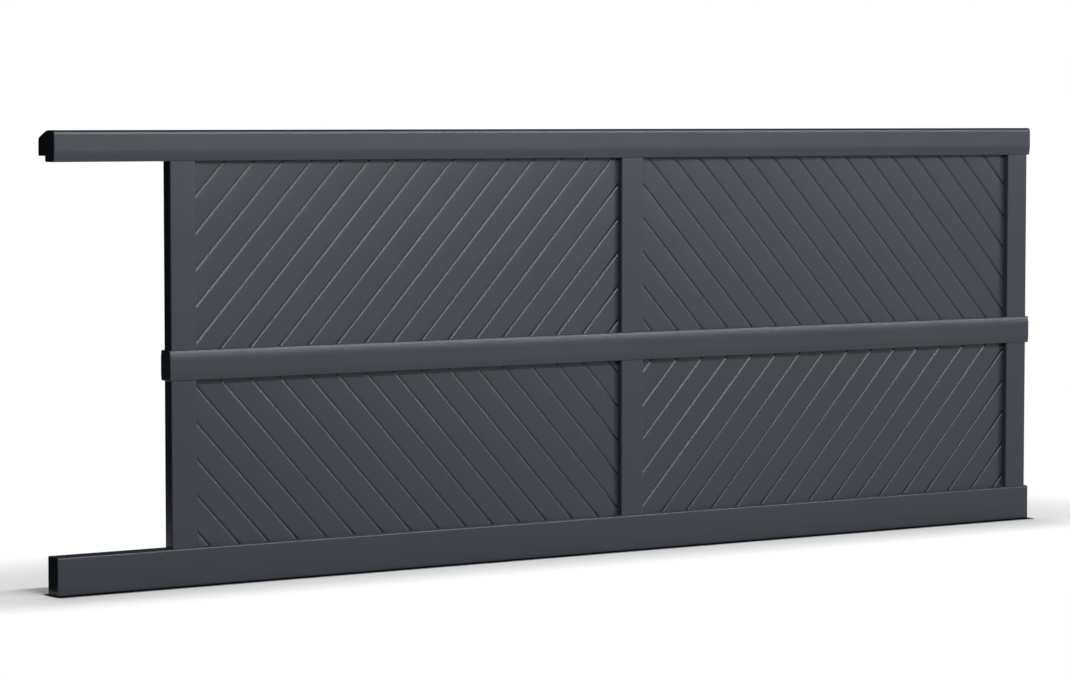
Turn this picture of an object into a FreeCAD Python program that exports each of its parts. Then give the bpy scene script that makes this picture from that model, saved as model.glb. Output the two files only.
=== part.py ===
import FreeCAD, Part
import math
import os

# Leaf of a sliding driveway gate in aluminium extrusions, in millimetres.
# X runs along the leaf from the tail to the closing end, Y from front to back, Z up.
# The origin is on the underside of the bottom rail, under the middle of the leaf.

# Overall sizes
leaf_length = 3955.0
tail_length = 440.0
gate_height = 1600.0

# Rails
rail_depth = 72.0
rail_wall = 3.5
rail_edge_radius = 5.0
bottom_rail_depth = 76.0
bottom_rail_height = 135.0
bottom_rail_edge_radius = 7.0
mid_rail_height = 107.0
mid_rail_top = 831.0
top_rail_height = 109.0
top_rail_front_radius = 14.0

# Bowed rail faces: how far back the face goes, over which height, on which radius
upper_bow_setback = 4.5
upper_bow_height = 22.0
lower_bow_setback = 3.0
lower_bow_height = 20.0
bow_radius = 120.0
top_rail_bow_setback = 5.0
top_rail_bow_height = 30.0

# Guide hood on the back of the top rail, open downwards for the guide rollers
hood_reach = 52.0
hood_wall = 4.0
hood_lip_rise = 20.5
hood_roof_run = 64.0
hood_roof_drop = 26.0
hood_roof_radius = 100.0
hood_back_radius = 17.0

# End caps with a spigot inside the rail
cap_thickness = 5.0
cap_chamfer = 1.5
spigot_length = 30.0
spigot_wall = 3.0
spigot_clearance = 0.3

# Stiles
stile_width = 100.0
stile_depth = 58.0
stile_wall = 2.5
stile_corner_radius = 6.0
stile_crown = 1.0
stile_crown_radius = 1400.0
stile_setback = 9.0

# Infill panels, held in grooves of the stiles and in slots of the rails
panel_recess = 27.0
panel_thickness = 16.0
panel_seat_depth = 14.0
panel_slot_depth = 10.0
panel_clearance = 0.3

# Wheels, drawn up into pockets of the bottom rail
wheel_diameter = 76.0
wheel_width = 28.0
wheel_groove_mouth = 18.0
wheel_groove_floor = 6.0
wheel_groove_depth = 9.0
wheel_lift = 2.0
wheel_side_clearance = 2.0
wheel_pocket_clearance = 6.0
wheel_distance_from_end = 330.0
axle_diameter = 12.0
axle_running_clearance = 0.15
axle_head_across_flats = 18.0
axle_head_height = 6.0
axle_head_sides = 6
axle_travel = 22.0
carriage_sheet = 4.0
carriage_foot = 12.0
carriage_length = 118.0
carriage_bend_radius = 5.0

# Modelling limits and choices
shortest_edge = 0.001
sharp_corners = 2
full_turn = 360.0

# Places worked out from the sizes above
closing_x = leaf_length / 2
leaf_tail_x = -leaf_length / 2
tail_x = leaf_tail_x - tail_length
mid_rail_bottom = mid_rail_top - mid_rail_height
top_rail_bottom = gate_height - top_rail_height
hood_lip_bottom = top_rail_bottom + hood_lip_rise
hood_back = rail_depth / 2 + hood_reach
stile_centres = {
    "tail": leaf_tail_x + stile_setback + stile_width / 2,
    "middle": 0.0,
    "closing": closing_x - stile_setback - stile_width / 2,
}
tiers = {
    "lower": (bottom_rail_height, mid_rail_bottom),
    "upper": (mid_rail_top, top_rail_bottom),
}
panel_front = panel_recess - stile_depth / 2
panel_back = panel_front + panel_thickness
wheel_centre_z = wheel_lift + wheel_diameter / 2
wheel_places = {
    "tail": leaf_tail_x + wheel_distance_from_end,
    "closing": closing_x - wheel_distance_from_end,
}


def rounded_outline(corners, to_point):
    """Closed wire through corners (u, v, radius), with each corner rounded to its radius."""
    count = len(corners)
    starts = []
    middles = []
    ends = []
    for i in range(count):
        before = to_point(*corners[i - 1][:2])
        here = to_point(*corners[i][:2])
        after = to_point(*corners[(i + 1) % count][:2])
        radius = corners[i][2]
        incoming = (before - here).normalize()
        outgoing = (after - here).normalize()
        half_angle = incoming.getAngle(outgoing) / 2
        reach = radius / math.tan(half_angle)
        bisector = (incoming + outgoing).normalize()
        centre = here + bisector * (radius / math.sin(half_angle))
        starts.append(here + incoming * reach)
        middles.append(centre - bisector * radius)
        ends.append(here + outgoing * reach)
    edges = []
    for i in range(count):
        if corners[i][2] > 0:
            edges.append(Part.Arc(starts[i], middles[i], ends[i]).toShape())
        following = starts[(i + 1) % count]
        if (following - ends[i]).Length > shortest_edge:
            edges.append(Part.LineSegment(ends[i], following).toShape())
    return Part.Wire(edges)


def section_point(y, z):
    """Point of a rail's section, which lies across the leaf."""
    return FreeCAD.Vector(0, y, z)


def plan_point(x, y):
    """Point of a stile's section, seen from above."""
    return FreeCAD.Vector(x, y, 0)


def block(x_range, y_range, z_range):
    """Box between two values along each axis."""
    size = [high - low for low, high in (x_range, y_range, z_range)]
    return Part.makeBox(*size, FreeCAD.Vector(x_range[0], y_range[0], z_range[0]))


def inset(face, distance):
    """Section drawn in by a distance all round."""
    return face.makeOffset2D(-distance, sharp_corners)


def hollow(face, wall):
    """Section of an extrusion with one chamber, the wall being as thick all round."""
    return face.cut(inset(face, wall))


def along_x(face, start, end):
    """Section extruded along the leaf between two places."""
    moved = face.translated(FreeCAD.Vector(start, 0, 0))
    return moved.extrude(FreeCAD.Vector(end - start, 0, 0))


def bottom_rail_outline(lower_radius, upper_radius):
    """Flat-faced box with its edges rounded to the radii given."""
    half = bottom_rail_depth / 2
    corners = [
        (-half, 0.0, lower_radius),
        (half, 0.0, lower_radius),
        (half, bottom_rail_height, upper_radius),
        (-half, bottom_rail_height, upper_radius),
    ]
    return Part.Face(rounded_outline(corners, section_point))


def mid_rail_outline(edge_radius):
    """Box whose front and back lean in towards the upper and the lower edge."""
    half = rail_depth / 2
    lower = half - lower_bow_setback
    upper = half - upper_bow_setback
    low_knee = mid_rail_bottom + lower_bow_height
    high_knee = mid_rail_top - upper_bow_height
    corners = [
        (-lower, mid_rail_bottom, edge_radius),
        (lower, mid_rail_bottom, edge_radius),
        (half, low_knee, bow_radius),
        (half, high_knee, bow_radius),
        (upper, mid_rail_top, edge_radius),
        (-upper, mid_rail_top, edge_radius),
        (-half, high_knee, bow_radius),
        (-half, low_knee, bow_radius),
    ]
    return Part.Face(rounded_outline(corners, section_point))


def top_rail_body_corners(edge_radius):
    """Front and underside of the top rail, from its top to the foot of its back."""
    half = rail_depth / 2
    return [
        (-half, gate_height, top_rail_front_radius),
        (-half, top_rail_bottom + top_rail_bow_height, bow_radius),
        (top_rail_bow_setback - half, top_rail_bottom, edge_radius),
        (half, top_rail_bottom, edge_radius),
    ]


def hood_roof_corners():
    """Sloping roof of the guide hood, from the back edge up to the flat top."""
    roof_start = hood_back - hood_roof_run
    return [
        (hood_back, gate_height - hood_roof_drop, hood_back_radius),
        (roof_start, gate_height, hood_roof_radius),
    ]


def top_rail_silhouette(edge_radius):
    """Outer outline of the top rail with its hood closed, as the end caps have it."""
    half = rail_depth / 2
    corners = top_rail_body_corners(edge_radius) + [
        (half, hood_lip_bottom, 0.0),
        (hood_back, hood_lip_bottom, 0.0),
    ] + hood_roof_corners()
    return Part.Face(rounded_outline(corners, section_point))


def section_rectangle(y_range, z_range):
    """Flat rectangle in a rail's section."""
    corners = [(y, z, 0.0) for y, z in (
        (y_range[0], z_range[0]),
        (y_range[1], z_range[0]),
        (y_range[1], z_range[1]),
        (y_range[0], z_range[1]),
    )]
    return Part.Face(rounded_outline(corners, section_point))


def guide_channel_section():
    """Space under the hood's roof, between the rail's back and the hood's lip."""
    sides = (rail_depth / 2, hood_back - hood_wall)
    under_roof = inset(top_rail_silhouette(rail_edge_radius), hood_wall)
    channel = under_roof.common(section_rectangle(sides, (hood_lip_bottom, gate_height)))
    mouth = section_rectangle(sides, (hood_lip_bottom, hood_lip_bottom + 2 * hood_wall))
    return channel.fuse(mouth)


def bottom_rail_chamber():
    """Chamber of the bottom rail, square in its corners."""
    return inset(bottom_rail_outline(0.0, 0.0), rail_wall)


def mid_rail_chamber():
    """Chamber of the mid rail, bowed like its faces and square in its corners."""
    return inset(mid_rail_outline(0.0), rail_wall)


def top_rail_chamber():
    """Closed chamber of the top rail, in front of the guide channel."""
    back = rail_depth / 2 - rail_wall
    inside = inset(top_rail_silhouette(0.0), rail_wall)
    front_part = section_rectangle((-rail_depth / 2, back), (top_rail_bottom, gate_height))
    return inside.common(front_part).Faces[0]


def panel_groove_range():
    """Front and back of the grooves and slots that hold the panels."""
    return (panel_front - panel_clearance, panel_back + panel_clearance)


def bay_ranges():
    """Start and end of each bay between two stiles, measured between the groove floors."""
    half = stile_width / 2 - panel_seat_depth
    return {
        "tail": (stile_centres["tail"] + half, stile_centres["middle"] - half),
        "closing": (stile_centres["middle"] + half, stile_centres["closing"] - half),
    }


def with_panel_slots(rail, faces):
    """Rail with a slot in each face (low, high) for the panels of both bays."""
    for low, high in faces:
        for start, end in bay_ranges().values():
            rail = rail.cut(block((start, end), panel_groove_range(), (low, high)))
    return rail


def make_bottom_rail():
    """Hollow bottom rail, slotted for the panels and cut out under each wheel."""
    section = bottom_rail_outline(rail_edge_radius, bottom_rail_edge_radius).cut(bottom_rail_chamber())
    rail = along_x(section, tail_x + cap_thickness, closing_x - cap_thickness)
    rail = with_panel_slots(rail, [(bottom_rail_height - panel_slot_depth, bottom_rail_height)])
    half_length = wheel_diameter / 2 + wheel_pocket_clearance
    half_width = wheel_width / 2 + wheel_side_clearance
    for x in wheel_places.values():
        pocket = block((x - half_length, x + half_length), (-half_width, half_width), (0, rail_wall))
        rail = rail.cut(pocket)
    return rail


def make_mid_rail():
    """Hollow mid rail, slotted above and below for the panels."""
    section = mid_rail_outline(rail_edge_radius).cut(mid_rail_chamber())
    rail = along_x(section, leaf_tail_x + cap_thickness, closing_x - cap_thickness)
    faces = [
        (mid_rail_bottom, mid_rail_bottom + panel_slot_depth),
        (mid_rail_top - panel_slot_depth, mid_rail_top),
    ]
    return with_panel_slots(rail, faces)


def make_top_rail():
    """Hollow top rail with the guide hood on its back, slotted below for the panels."""
    closed = top_rail_silhouette(rail_edge_radius)
    section = closed.cut(guide_channel_section()).cut(top_rail_chamber())
    rail = along_x(section, tail_x + cap_thickness, closing_x - cap_thickness)
    return with_panel_slots(rail, [(top_rail_bottom, top_rail_bottom + panel_slot_depth)])


def with_chamfered_rim(plate, outer_x):
    """Plate with the edges of its outer face chamfered."""
    rim = []
    for edge in plate.Edges:
        if max(abs(vertex.X - outer_x) for vertex in edge.Vertexes) < shortest_edge:
            rim.append(edge)
    return plate.makeChamfer(cap_chamfer, rim)


def make_end_cap(outline, chamber, outer_x, inward):
    """Plate over a rail's end, with a tubular spigot that plugs the rail's chamber."""
    plate_end = outer_x + inward * cap_thickness
    spigot_end = plate_end + inward * spigot_length
    spigot = hollow(inset(chamber, spigot_clearance), spigot_wall)
    plate = with_chamfered_rim(along_x(outline, outer_x, plate_end), outer_x)
    return plate.fuse(along_x(spigot, plate_end, spigot_end)).removeSplitter()


def end_caps():
    """Both end caps of each rail, by node name."""
    bottom_outline = bottom_rail_outline(rail_edge_radius, bottom_rail_edge_radius)
    rails = {
        "bottom_rail": (bottom_outline, bottom_rail_chamber(), tail_x),
        "mid_rail": (mid_rail_outline(rail_edge_radius), mid_rail_chamber(), leaf_tail_x),
        "top_rail": (top_rail_silhouette(rail_edge_radius), top_rail_chamber(), tail_x),
    }
    caps = {}
    for name, (outline, chamber, start) in rails.items():
        caps[name + "_cap_tail"] = make_end_cap(outline, chamber, start, 1)
        caps[name + "_cap_closing"] = make_end_cap(outline, chamber, closing_x, -1)
    return caps


def stile_section(centre, grooved_sides):
    """Section of a stile with crowned faces and a panel groove in the sides named."""
    half_width = stile_width / 2
    half_depth = stile_depth / 2
    edge = half_depth - stile_crown
    corners = [
        (-half_width, -edge, stile_corner_radius),
        (0.0, -half_depth, stile_crown_radius),
        (half_width, -edge, stile_corner_radius),
        (half_width, edge, stile_corner_radius),
        (0.0, half_depth, stile_crown_radius),
        (-half_width, edge, stile_corner_radius),
    ]
    outline = Part.Face(rounded_outline(corners, plan_point))
    chamber = inset(outline, stile_wall)
    front, back = panel_groove_range()
    for side in grooved_sides:
        groove_floor = side * (half_width - panel_seat_depth)
        lining_floor = groove_floor - side * stile_wall
        groove = plan_rectangle(groove_floor, side * (half_width + stile_wall), front, back)
        lining = plan_rectangle(lining_floor, side * half_width, front - stile_wall, back + stile_wall)
        outline = outline.cut(groove)
        chamber = chamber.cut(lining)
    return outline.cut(chamber).translated(FreeCAD.Vector(centre, 0, 0))


def plan_rectangle(start, end, front, back):
    """Flat rectangle in plan, between two places along X and two along Y."""
    plane_corner = FreeCAD.Vector(min(start, end), front, 0)
    return Part.makePlane(abs(end - start), back - front, plane_corner)


def make_stiles():
    """Upper and lower piece of each stile, by node name."""
    grooved_sides = {"tail": (1,), "middle": (-1, 1), "closing": (-1,)}
    stiles = {}
    for place, centre in stile_centres.items():
        section = stile_section(centre, grooved_sides[place])
        for tier, (low, high) in tiers.items():
            foot = section.translated(FreeCAD.Vector(0, 0, low))
            stiles["stile_" + place + "_" + tier] = foot.extrude(FreeCAD.Vector(0, 0, high - low))
    return stiles


def make_panels():
    """Infill panel of each bay and tier, by node name."""
    panels = {}
    for bay, (start, end) in bay_ranges().items():
        for tier, (low, high) in tiers.items():
            x_range = (start + panel_clearance, end - panel_clearance)
            seat = panel_slot_depth - panel_clearance
            z_range = (low - seat, high + seat)
            panels["panel_" + bay + "_" + tier] = block(x_range, (panel_front, panel_back), z_range)
    return panels


def make_wheel(x):
    """Wheel turned from its half section, with a flared running groove in the rim."""
    radius = wheel_diameter / 2
    bore = axle_diameter / 2 + axle_running_clearance
    half_width = wheel_width / 2
    groove_radius = radius - wheel_groove_depth
    corners = [
        (-half_width, bore),
        (-half_width, radius),
        (-wheel_groove_mouth / 2, radius),
        (-wheel_groove_floor / 2, groove_radius),
        (wheel_groove_floor / 2, groove_radius),
        (wheel_groove_mouth / 2, radius),
        (half_width, radius),
        (half_width, bore),
    ]
    half_section = Part.Face(rounded_outline([(y, r, 0.0) for y, r in corners], section_point))
    wheel = half_section.revolve(FreeCAD.Vector(0, 0, 0), FreeCAD.Vector(0, 1, 0), full_turn)
    return wheel.translated(FreeCAD.Vector(x, 0, wheel_centre_z))


def carriage_half_width():
    """Half the outside width over the carriage's cheeks."""
    return wheel_width / 2 + wheel_side_clearance + carriage_sheet


def make_axle(x):
    """Axle bolt with a hexagonal head and nut outside the carriage's cheeks."""
    cheek = carriage_half_width()
    reach = cheek + axle_head_height
    along_axle = FreeCAD.Vector(0, 1, 0)
    start = FreeCAD.Vector(x, -reach, wheel_centre_z)
    axle = Part.makeCylinder(axle_diameter / 2, 2 * reach, start, along_axle)
    turn = 2 * math.pi / axle_head_sides
    corner_radius = axle_head_across_flats / 2 / math.cos(turn / 2)
    for y in (-reach, cheek):
        rim = []
        for i in range(axle_head_sides + 1):
            across = corner_radius * math.cos(turn * i)
            up = corner_radius * math.sin(turn * i)
            rim.append(FreeCAD.Vector(x + across, y, wheel_centre_z + up))
        head = Part.Face(Part.makePolygon(rim))
        axle = axle.fuse(head.extrude(along_axle * axle_head_height))
    return axle.removeSplitter()


def make_carriage(x):
    """Bent sheet saddle over the wheel, its feet on the rail's floor, its cheeks slotted for the axle."""
    outer = carriage_half_width()
    inner = outer - carriage_sheet
    foot = outer + carriage_foot
    floor = rail_wall
    roof = bottom_rail_height - rail_wall - panel_slot_depth
    inside_bend = carriage_bend_radius - carriage_sheet
    corners = [
        (-foot, floor, 0.0),
        (-inner, floor, carriage_bend_radius),
        (-inner, roof - carriage_sheet, inside_bend),
        (inner, roof - carriage_sheet, inside_bend),
        (inner, floor, carriage_bend_radius),
        (foot, floor, 0.0),
        (foot, floor + carriage_sheet, 0.0),
        (outer, floor + carriage_sheet, inside_bend),
        (outer, roof, carriage_bend_radius),
        (-outer, roof, carriage_bend_radius),
        (-outer, floor + carriage_sheet, inside_bend),
        (-foot, floor + carriage_sheet, 0.0),
    ]
    section = Part.Face(rounded_outline(corners, section_point))
    carriage = along_x(section, x - carriage_length / 2, x + carriage_length / 2)
    slot_radius = axle_diameter / 2 + axle_running_clearance
    axis = FreeCAD.Vector(0, 1, 0)
    slot_range = (wheel_centre_z - axle_travel, wheel_centre_z)
    for z in slot_range:
        end = Part.makeCylinder(slot_radius, 2 * outer, FreeCAD.Vector(x, -outer, z), axis)
        carriage = carriage.cut(end)
    slot = block((x - slot_radius, x + slot_radius), (-outer, outer), slot_range)
    return carriage.cut(slot)


def make_running_gear():
    """Wheel, axle and carriage at both ends, by node name."""
    gear = {}
    for place, x in wheel_places.items():
        gear["wheel_" + place] = make_wheel(x)
        gear["axle_" + place] = make_axle(x)
        gear["wheel_carriage_" + place] = make_carriage(x)
    return gear


def build():
    """Every piece of the leaf, by node name."""
    pieces = {
        "bottom_rail": make_bottom_rail(),
        "mid_rail": make_mid_rail(),
        "top_rail": make_top_rail(),
    }
    pieces.update(end_caps())
    pieces.update(make_stiles())
    pieces.update(make_panels())
    pieces.update(make_running_gear())
    return pieces


os.makedirs("parts", exist_ok=True)
for node, shape in build().items():
    shape.exportStep("parts/" + node + ".step")
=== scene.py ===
import math

import bmesh
import bpy
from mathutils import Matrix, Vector


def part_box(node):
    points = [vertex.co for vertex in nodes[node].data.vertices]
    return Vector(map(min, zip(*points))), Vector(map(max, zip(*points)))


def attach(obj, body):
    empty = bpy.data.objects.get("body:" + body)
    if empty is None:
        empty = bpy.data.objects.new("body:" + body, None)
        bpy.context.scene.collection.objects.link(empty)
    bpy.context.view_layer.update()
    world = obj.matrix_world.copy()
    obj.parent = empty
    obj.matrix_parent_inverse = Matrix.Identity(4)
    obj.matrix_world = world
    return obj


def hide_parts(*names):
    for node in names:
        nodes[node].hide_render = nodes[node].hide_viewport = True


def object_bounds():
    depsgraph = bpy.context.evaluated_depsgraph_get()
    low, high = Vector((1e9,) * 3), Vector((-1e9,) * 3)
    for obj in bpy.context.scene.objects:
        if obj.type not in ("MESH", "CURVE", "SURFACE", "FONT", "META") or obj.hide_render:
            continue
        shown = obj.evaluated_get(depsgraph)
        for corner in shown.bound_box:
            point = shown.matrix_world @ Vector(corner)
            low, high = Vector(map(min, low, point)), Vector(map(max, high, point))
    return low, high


# Leaf of a sliding driveway gate, in metres.
# X runs along the leaf to its closing end, Y to the back, Z up, as in the frame.

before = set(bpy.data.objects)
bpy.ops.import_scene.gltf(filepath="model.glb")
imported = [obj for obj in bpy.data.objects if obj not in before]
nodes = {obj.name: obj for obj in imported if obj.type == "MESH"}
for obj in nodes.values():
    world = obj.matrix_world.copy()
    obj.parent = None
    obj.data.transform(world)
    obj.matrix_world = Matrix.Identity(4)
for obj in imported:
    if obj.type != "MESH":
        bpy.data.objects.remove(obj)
cad_low, cad_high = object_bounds()
scene = bpy.context.scene
mm = 0.001

# Boards of the infill panels and the V joints between them
panel_low, panel_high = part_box("panel_tail_upper")
panel_thickness = panel_high.y - panel_low.y
panel_middle = (panel_low.y + panel_high.y) / 2
board_pitch = 87.35 * mm
board_angle = math.radians(47.18)
board_edge_radius = 0.8 * mm
board_edge_steps = 4
crease_angle = math.radians(35.0)
joint_flare = 6.5 * mm
joint_floor = 0.8 * mm
joint_depth = 2.8 * mm
joint_seam = 0.5 * mm
joint_seam_depth = 1.2 * mm
# Where the joints of each bay lie, as a share of the pitch
joint_phase = {
    "tail_upper": 0.759,
    "closing_upper": 0.635,
    "tail_lower": 0.141,
    "closing_lower": 0.2555,
}
rising_to_closing = {"tail_upper", "closing_lower"}

# Shade of the boards: how much they differ at random, the painted shade deep in the joints, and the share
# of the joint's depth it fades over
board_shade_variation = 0.015
joint_painted_shade = 0.17
painted_shade_rise = 0.9

# Finishes
paint_colour = (0.0290, 0.0362, 0.0468)
coat_roughness = 0.30
coat_specular = 0.36
cap_roughness = 0.36
cap_specular = 0.25
zinc_colour = (0.50, 0.52, 0.54)
zinc_roughness = 0.38
steel_colour = (0.42, 0.42, 0.42)
steel_roughness = 0.30

# Surface detail. Each noise is given by its scale, detail and roughness
unit_range = (0.0, 1.0)
noise_range = (0.3, 0.7)
cloud_noise = (2.2, 3.0, 0.55)
cloud_variation = 0.025
sheen_noise = (8.0, 3.0, 0.5)
sheen_variation = 0.015
peel_noise = (160.0, 1.0, 0.5)
peel_depth = 0.01 * mm
grain_noise = (700.0, 2.0, 0.6)
grain_depth = 0.003 * mm
blotch_noise = (90.0, 5.0, 0.65)
blotch_shades = (0.85, 1.12)
mark_noise = (60.0, 3.0, 0.6)
mark_stretch = (0.06, 1.0, 1.0)
mark_smoother = 0.07
mark_rougher = 0.09
mark_depth = 0.03 * mm

# Camera
camera_place = (-7.8149, -11.1127, 1.6443)
camera_pitch = math.radians(-3.5610)
camera_yaw = math.radians(33.617)
camera_reach = 200.0
photo_width = 1070
photo_focal_pixels = 3581.1
sensor_width = 36.0

# Studio
white = 1.0
black = (0.0, 0.0, 0.0)
ambient_level = 0.05
# Lamps: name, place, aim, size, watts, whether it gives diffuse light, whether it shows as sheen
lamps = (
    ("key_wide", (0.0, -5.5, 4.1), (0.0, 0.0, 1.2), (8.0, 0.4), 272.0, True, False),
    ("key_left", (-1.7, -5.5, 4.1), (-1.7, 0.0, 1.2), (1.4, 0.4), 160.0, True, False),
    ("key_right", (4.0, -5.5, 4.1), (2.6, 0.0, 1.2), (2.0, 0.4), 82.0, True, False),
    ("sheen_high", (0.6, -3.6, 4.3), (0.6, 0.0, 1.2), (9.5, 0.7), 190.0, False, True),
    ("sheen_edge", (2.0, -2.8, 4.5), (2.0, 0.0, 1.2), (10.2, 0.4), 150.0, False, True),
    ("sheen_middle", (3.4, -6.0, 3.2), (3.7, 0.0, 1.2), (15.0, 0.5), 390.0, False, True),
    ("sheen_low", (0.6, -6.0, 2.6), (1.2, 0.0, 1.2), (9.5, 0.6), 36.0, False, True),
    ("back", (1.0, 5.0, 3.2), (0.0, 0.0, 0.7), (7.0, 1.6), 220.0, True, False),
)
floor_size = 40.0
floor_colour = (0.93, 0.93, 0.93)
bounce_colour = (0.18, 0.18, 0.18)
# How far the painted shadow band and the painted contact shadow reach in front, behind and past the ends
shadow_reach = (0.36, 1.0, 0.8)
shadow_falloff = 1.4
contact_shadow_reach = (0.044, 0.025, 0.02)
contact_shadow_falloff = 4.0
flag_left_x = -2.9
flag_right_x = 16.0
flag_back_y = 6.0
flag_top_front_y = -9.0
flag_foot = 0.01
flag_height = 9.0
gap_to_card = 0.02


def link(tree, source, target):
    """Joins one node's output socket to another's input socket."""
    tree.links.new(source, target)


def empty_material(name):
    """Material with nothing but an output, whose surface socket is given too."""
    material = bpy.data.materials.new(name)
    material.use_nodes = True
    tree = material.node_tree
    tree.nodes.clear()
    output = tree.nodes.new("ShaderNodeOutputMaterial")
    return material, tree, output.inputs["Surface"]


def new_material(name):
    """Material with only a surface output and a principled shader."""
    material, tree, surface = empty_material(name)
    shader = tree.nodes.new("ShaderNodeBsdfPrincipled")
    link(tree, shader.outputs["BSDF"], surface)
    return material, tree, shader


def calculated(tree, operation, first, second=0.0):
    """Result of one operation on one or two values, each a socket or a number."""
    node = tree.nodes.new("ShaderNodeMath")
    node.operation = operation
    for socket, value in zip(node.inputs, (first, second)):
        if isinstance(value, bpy.types.NodeSocket):
            link(tree, value, socket)
        else:
            socket.default_value = value
    return node.outputs["Value"]


def mapped(tree, value, from_range, to_range):
    """Value mapped from one range onto another, and kept inside it."""
    node = tree.nodes.new("ShaderNodeMapRange")
    link(tree, value, node.inputs["Value"])
    for end, start, target in zip(("Min", "Max"), from_range, to_range):
        node.inputs["From " + end].default_value = start
        node.inputs["To " + end].default_value = target
    return node.outputs["Result"]


def around(middle, variation):
    """Range that reaches as far below a middle as above it."""
    return middle - variation, middle + variation


def coordinates(tree):
    """Outputs X, Y and Z, the place of each point in the frame."""
    place = tree.nodes.new("ShaderNodeTexCoord")
    parts = tree.nodes.new("ShaderNodeSeparateXYZ")
    link(tree, place.outputs["Object"], parts.inputs["Vector"])
    return parts.outputs


def noise(tree, kind, stretch=None):
    """Noise over the object's own coordinates, stretched along an axis if asked."""
    scale, detail, roughness = kind
    place = tree.nodes.new("ShaderNodeTexCoord").outputs["Object"]
    texture = tree.nodes.new("ShaderNodeTexNoise")
    texture.inputs["Scale"].default_value = scale
    texture.inputs["Detail"].default_value = detail
    texture.inputs["Roughness"].default_value = roughness
    if stretch is not None:
        mapping = tree.nodes.new("ShaderNodeMapping")
        mapping.inputs["Scale"].default_value = stretch
        link(tree, place, mapping.inputs["Vector"])
        place = mapping.outputs["Vector"]
    link(tree, place, texture.inputs["Vector"])
    return texture.outputs["Fac"]


def tinted(tree, colour, value):
    """Colour brightened or darkened by a value round 1."""
    node = tree.nodes.new("ShaderNodeMix")
    node.data_type = "RGBA"
    node.blend_type = "MULTIPLY"
    node.inputs["Factor"].default_value = 1.0
    node.inputs["A"].default_value = (*colour, 1.0)
    link(tree, value, node.inputs["B"])
    return node.outputs["Result"]


def bumped(tree, heights):
    """Normal from several height fields, each with its depth in metres."""
    normal = None
    for value, depth in heights:
        node = tree.nodes.new("ShaderNodeBump")
        node.inputs["Distance"].default_value = depth
        link(tree, value, node.inputs["Height"])
        if normal is not None:
            link(tree, normal, node.inputs["Normal"])
        normal = node.outputs["Normal"]
    return normal


def board_tone_and_painted_shade(tree):
    """A slightly different shade for each board, and painted shade that darkens the colour deep in the
    joints between them.
    """
    geometry = tree.nodes.new("ShaderNodeNewGeometry")
    each_board = geometry.outputs["Random Per Island"]
    each_board = mapped(tree, each_board, unit_range, around(1.0, board_shade_variation))
    from_middle = calculated(tree, "SUBTRACT", coordinates(tree)["Y"], panel_middle)
    from_middle = calculated(tree, "ABSOLUTE", from_middle)
    face = panel_thickness / 2
    # Painted shade: the boards' colour darkens towards the bottom of each V joint, where shade falls
    painted_shade_range = (face - joint_depth, face - joint_depth * (1.0 - painted_shade_rise))
    painted_shade_mask = mapped(tree, from_middle, painted_shade_range, (joint_painted_shade, 1.0))
    return calculated(tree, "MULTIPLY", each_board, painted_shade_mask)


def powder_coat(name, colour, roughness, specular, extra_shade=None):
    """Satin powder coat: fine orange peel, faint clouding, slightly uneven sheen."""
    material, tree, shader = new_material(name)
    shader.inputs["Specular IOR Level"].default_value = specular
    shade = mapped(tree, noise(tree, cloud_noise), noise_range, around(1.0, cloud_variation))
    if extra_shade is not None:
        shade = calculated(tree, "MULTIPLY", shade, extra_shade(tree))
    link(tree, tinted(tree, colour, shade), shader.inputs["Base Color"])
    grain = noise(tree, grain_noise)
    peel = noise(tree, peel_noise)
    sheen = mapped(tree, noise(tree, sheen_noise), noise_range, around(roughness, sheen_variation))
    link(tree, sheen, shader.inputs["Roughness"])
    link(tree, bumped(tree, [(peel, peel_depth), (grain, grain_depth)]), shader.inputs["Normal"])
    return material


def zinc_plate(name, colour, roughness):
    """Zinc-plated steel with faint blotches and fine rolling marks."""
    material, tree, shader = new_material(name)
    shader.inputs["Metallic"].default_value = 1.0
    shade = mapped(tree, noise(tree, blotch_noise), noise_range, blotch_shades)
    link(tree, tinted(tree, colour, shade), shader.inputs["Base Color"])
    marks = noise(tree, mark_noise, mark_stretch)
    rolled = mapped(tree, marks, noise_range, (roughness - mark_smoother, roughness + mark_rougher))
    link(tree, rolled, shader.inputs["Roughness"])
    link(tree, bumped(tree, [(marks, mark_depth)]), shader.inputs["Normal"])
    return material


def board_section():
    """Section of one board, (across, depth behind the panel's front), closed and symmetrical."""
    half = board_pitch / 2
    joint_side = half - joint_floor / 2
    seam_side = half - joint_seam / 2
    shoulder = joint_side - joint_flare
    slope = math.atan2(joint_depth, joint_flare)
    reach = board_edge_radius * math.tan(slope / 2)
    face = []
    for i in range(board_edge_steps + 1):
        turn = slope * i / board_edge_steps
        x = shoulder - reach + board_edge_radius * math.sin(turn)
        y = board_edge_radius * (1.0 - math.cos(turn))
        face.append((x, y))
    face.append((joint_side, joint_depth))
    face.append((seam_side, joint_depth))
    face.append((seam_side, joint_depth + joint_seam_depth))
    face.append((half, joint_depth + joint_seam_depth))
    right = face + [(x, panel_thickness - y) for x, y in reversed(face)]
    left = [(-x, y) for x, y in reversed(right)]
    return right + left


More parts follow.
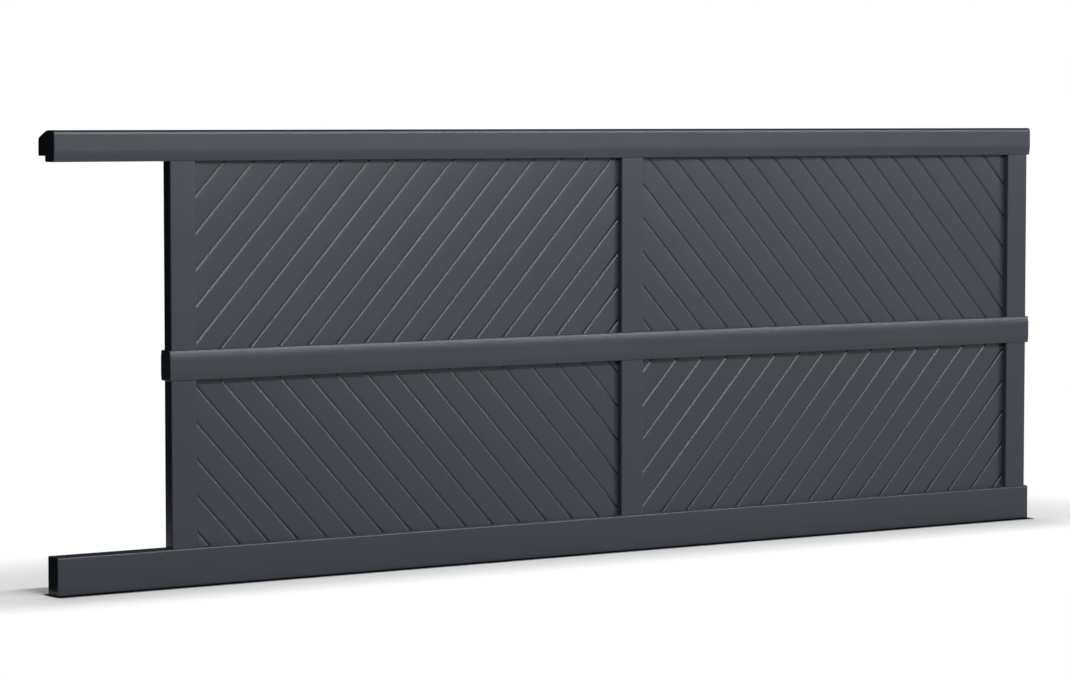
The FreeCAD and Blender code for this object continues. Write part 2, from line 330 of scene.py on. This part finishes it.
def add_board(mesh, section, across, along, origin, reach, corners):
    """One board as a long prism through origin, cut off at the panel's four sides."""
    board = bmesh.new()
    back = Vector((0.0, 1.0, 0.0))
    rings = []
    for end in (-reach, reach):
        start = origin + along * end
        rings.append([board.verts.new(start + across * x + back * y) for x, y in section])
    count = len(section)
    for i in range(count):
        following = (i + 1) % count
        board.faces.new((rings[0][i], rings[0][following], rings[1][following], rings[1][i]))
    board.faces.new(rings[0])
    board.faces.new(rings[1])
    low, high = corners
    for plane, normal in (
        (low, (-1.0, 0.0, 0.0)),
        (high, (1.0, 0.0, 0.0)),
        (low, (0.0, 0.0, -1.0)),
        (high, (0.0, 0.0, 1.0)),
    ):
        whole = board.verts[:] + board.edges[:] + board.faces[:]
        cut = bmesh.ops.bisect_plane(
            board, geom=whole, plane_co=plane, plane_no=normal, clear_outer=True
        )
        rim = [item for item in cut["geom_cut"] if isinstance(item, bmesh.types.BMEdge)]
        if rim:
            bmesh.ops.edgenet_fill(board, edges=rim)
    if board.faces:
        bmesh.ops.recalc_face_normals(board, faces=board.faces[:])
        piece = bpy.data.meshes.new("board")
        board.to_mesh(piece)
        mesh.from_mesh(piece)
        bpy.data.meshes.remove(piece)
    board.free()


def make_boards(bay, material):
    """Diagonal boards of one bay, in place of its plain panel."""
    node = "panel_" + bay
    low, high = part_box(node)
    lean = 1.0 if bay in rising_to_closing else -1.0
    across = Vector((lean * math.sin(board_angle), 0.0, -math.cos(board_angle)))
    along = Vector((lean * math.cos(board_angle), 0.0, math.sin(board_angle)))
    centre = (low + high) / 2
    reach = (high - low).length
    places = [across.dot(Vector((x, 0.0, z))) for x in (low.x, high.x) for z in (low.z, high.z)]
    first = math.floor(min(places) / board_pitch - joint_phase[bay]) - 1
    last = math.ceil(max(places) / board_pitch - joint_phase[bay]) + 1
    section = board_section()
    mesh = bmesh.new()
    for number in range(first, last):
        middle = (number + 0.5 + joint_phase[bay]) * board_pitch
        origin = Vector((centre.x, low.y, centre.z))
        origin += across * (middle - across.dot(origin))
        add_board(mesh, section, across, along, origin, reach, (low, high))
    data = bpy.data.meshes.new("boards_" + bay)
    mesh.to_mesh(data)
    mesh.free()
    data.shade_smooth()
    data.set_sharp_from_angle(angle=crease_angle)
    data.materials.append(material)
    boards = bpy.data.objects.new("boards_" + bay, data)
    scene.collection.objects.link(boards)
    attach(boards, "root")
    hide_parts(node)


def dress(node, material):
    """Gives a node of the frame its material."""
    piece = nodes[node]
    if piece.material_slots:
        for entry in piece.material_slots:
            entry.material = material
    else:
        piece.data.materials.append(material)


def light_path_share(tree):
    """1 for rays that show the background: camera, glossy and transmission rays."""
    path = tree.nodes.new("ShaderNodeLightPath")
    share = path.outputs["Is Camera Ray"]
    for kind in ("Is Glossy Ray", "Is Transmission Ray"):
        share = calculated(tree, "MAXIMUM", share, path.outputs[kind])
    return share


def make_world():
    """White background, and a dimmer even light for what it lights."""
    world = bpy.data.worlds.new("studio")
    scene.world = world
    world.use_nodes = True
    tree = world.node_tree
    tree.nodes.clear()
    output = tree.nodes.new("ShaderNodeOutputWorld")
    background = tree.nodes.new("ShaderNodeBackground")
    background.inputs["Color"].default_value = (1.0, 1.0, 1.0, 1.0)
    level = mapped(tree, light_path_share(tree), unit_range, (ambient_level, white))
    link(tree, level, background.inputs["Strength"])
    link(tree, background.outputs["Background"], output.inputs["Surface"])


def share_of_reach(tree, reach, falloff):
    """0 at the foot of the bottom rail, 1 past the reach on each side, over the floor."""
    low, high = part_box("bottom_rail")
    reach_front, reach_back, reach_end = reach
    place = coordinates(tree)
    past_tail = calculated(tree, "SUBTRACT", cad_low.x, place["X"])
    past_closing = calculated(tree, "SUBTRACT", place["X"], cad_high.x)
    past_end = calculated(tree, "MAXIMUM", past_tail, past_closing)
    past_end = calculated(tree, "DIVIDE", past_end, reach_end)
    in_front = calculated(tree, "SUBTRACT", low.y, place["Y"])
    in_front = calculated(tree, "DIVIDE", in_front, reach_front)
    behind = calculated(tree, "SUBTRACT", place["Y"], high.y)
    behind = calculated(tree, "DIVIDE", behind, reach_back)
    beside = calculated(tree, "MAXIMUM", in_front, behind)
    squares = []
    for distance in (past_end, beside):
        outside = calculated(tree, "MAXIMUM", distance, 0.0)
        squares.append(calculated(tree, "MULTIPLY", outside, outside))
    distance = calculated(tree, "SQRT", calculated(tree, "ADD", *squares))
    return calculated(tree, "POWER", calculated(tree, "MINIMUM", distance, 1.0), falloff)


def matt(tree, colour):
    """Matt shader of one colour."""
    node = tree.nodes.new("ShaderNodeBsdfDiffuse")
    node.inputs["Color"].default_value = (*colour, 1.0)
    return node.outputs["BSDF"]


def mixed(tree, share, first, second):
    """First shader where the share is 0, second where it is 1."""
    node = tree.nodes.new("ShaderNodeMixShader")
    link(tree, share, node.inputs["Fac"])
    link(tree, first, node.inputs[1])
    link(tree, second, node.inputs[2])
    return node.outputs["Shader"]


def flat_object(name, corners, material):
    """Object of one four-cornered face."""
    mesh = bpy.data.meshes.new(name)
    mesh.from_pydata(corners, [], [(0, 1, 2, 3)])
    mesh.materials.append(material)
    piece = bpy.data.objects.new(name, mesh)
    scene.collection.objects.link(piece)
    return piece


def upright_corners(start, end):
    """Corners of an upright screen between two places in plan."""
    return [(*start, flag_foot), (*end, flag_foot), (*end, flag_height), (*start, flag_height)]


def level_corners(x_range, y_range, z):
    """Corners of a level face."""
    return [(x_range[0], y_range[0], z), (x_range[1], y_range[0], z),
            (x_range[1], y_range[1], z), (x_range[0], y_range[1], z)]


def make_floor():
    """Pale floor, lit near the leaf with its real shadow and faded into plain white further out, which
    paints a soft shadow band, and a painted black contact shadow at the foot.
    """
    material, tree, surface = empty_material("floor")
    plain = tree.nodes.new("ShaderNodeEmission")
    plain.inputs["Strength"].default_value = white
    # Lit floor with its real shadow near the leaf, faded into plain white by distance: this paints the
    # soft shadow band round the foot
    whiteness = share_of_reach(tree, shadow_reach, shadow_falloff)
    pale = mixed(tree, whiteness, matt(tree, floor_colour), plain.outputs["Emission"])
    # Painted contact shadow: the floor turns black close round the foot of the bottom rail
    painted_contact_shadow = share_of_reach(tree, contact_shadow_reach, contact_shadow_falloff)
    shown = mixed(tree, painted_contact_shadow, matt(tree, black), pale)
    floor_shader = mixed(tree, light_path_share(tree), matt(tree, bounce_colour), shown)
    link(tree, floor_shader, surface)
    side = (-floor_size / 2, floor_size / 2)
    floor = flat_object("floor", level_corners(side, side, 0.0), material)


def make_lamp(name, place, aim, size, energy, diffuse, sheen):
    """Soft rectangular lamp, out of the camera's sight, for diffuse light, sheen or both."""
    light = bpy.data.lights.new(name, "AREA")
    light.shape = "RECTANGLE"
    light.size, light.size_y = size
    light.energy = energy
    lamp = bpy.data.objects.new(name, light)
    scene.collection.objects.link(lamp)
    lamp.location = place
    lamp.rotation_euler = (Vector(aim) - Vector(place)).to_track_quat("-Z", "Y").to_euler()
    lamp.visible_camera = False
    lamp.visible_diffuse = diffuse
    lamp.visible_glossy = sheen


def make_flag(name, corners):
    """Black screen or card that keeps the pale surroundings out of the sheen."""
    material, _, shader = new_material(name)
    shader.inputs["Base Color"].default_value = (*black, 1.0)
    shader.inputs["Specular IOR Level"].default_value = 0.0
    flag = flat_object(name, corners, material)
    flag.visible_camera = False
    flag.visible_shadow = False
    flag.visible_diffuse = False


def make_camera():
    """Camera at the photograph's viewpoint."""
    data = bpy.data.cameras.new("camera")
    data.sensor_width = sensor_width
    data.lens = photo_focal_pixels / photo_width * sensor_width
    data.clip_end = camera_reach
    camera = bpy.data.objects.new("camera", data)
    scene.collection.objects.link(camera)
    camera.location = camera_place
    camera.rotation_euler = (math.pi / 2 + camera_pitch, 0.0, -camera_yaw)
    scene.camera = camera


paint = powder_coat("powder_coat", paint_colour, coat_roughness, coat_specular)
board_paint = powder_coat("powder_coat_boards", paint_colour, coat_roughness, coat_specular, board_tone_and_painted_shade)
cap_plastic = powder_coat("cap_plastic", paint_colour, cap_roughness, cap_specular)
zinc = zinc_plate("zinc_plate", zinc_colour, zinc_roughness)
steel = zinc_plate("wheel_steel", steel_colour, steel_roughness)

for name in nodes:
    if "_cap_" in name:
        dress(name, cap_plastic)
    elif name.startswith(("wheel_carriage", "axle")):
        dress(name, zinc)
    elif name.startswith("wheel"):
        dress(name, steel)
    elif name.startswith("panel"):
        dress(name, board_paint)
    else:
        dress(name, paint)

for bay in joint_phase:
    make_boards(bay, board_paint)

make_camera()
make_world()
make_floor()
for lamp in lamps:
    make_lamp(*lamp)

back_left = (flag_left_x, flag_back_y)
roof_x = (flag_left_x, flag_right_x)
roof_y = (flag_top_front_y, flag_back_y)
card_x = (flag_left_x, cad_low.x - gap_to_card)
card_y = (cad_low.y, flag_back_y)
make_flag("flag_left", upright_corners((flag_left_x, 0.0), back_left))
make_flag("flag_back", upright_corners(back_left, (flag_right_x, flag_back_y)))
make_flag("flag_top", level_corners(roof_x, roof_y, flag_height))
make_flag("card_left", level_corners(card_x, card_y, flag_foot))

scene.view_settings.view_transform = "Standard"
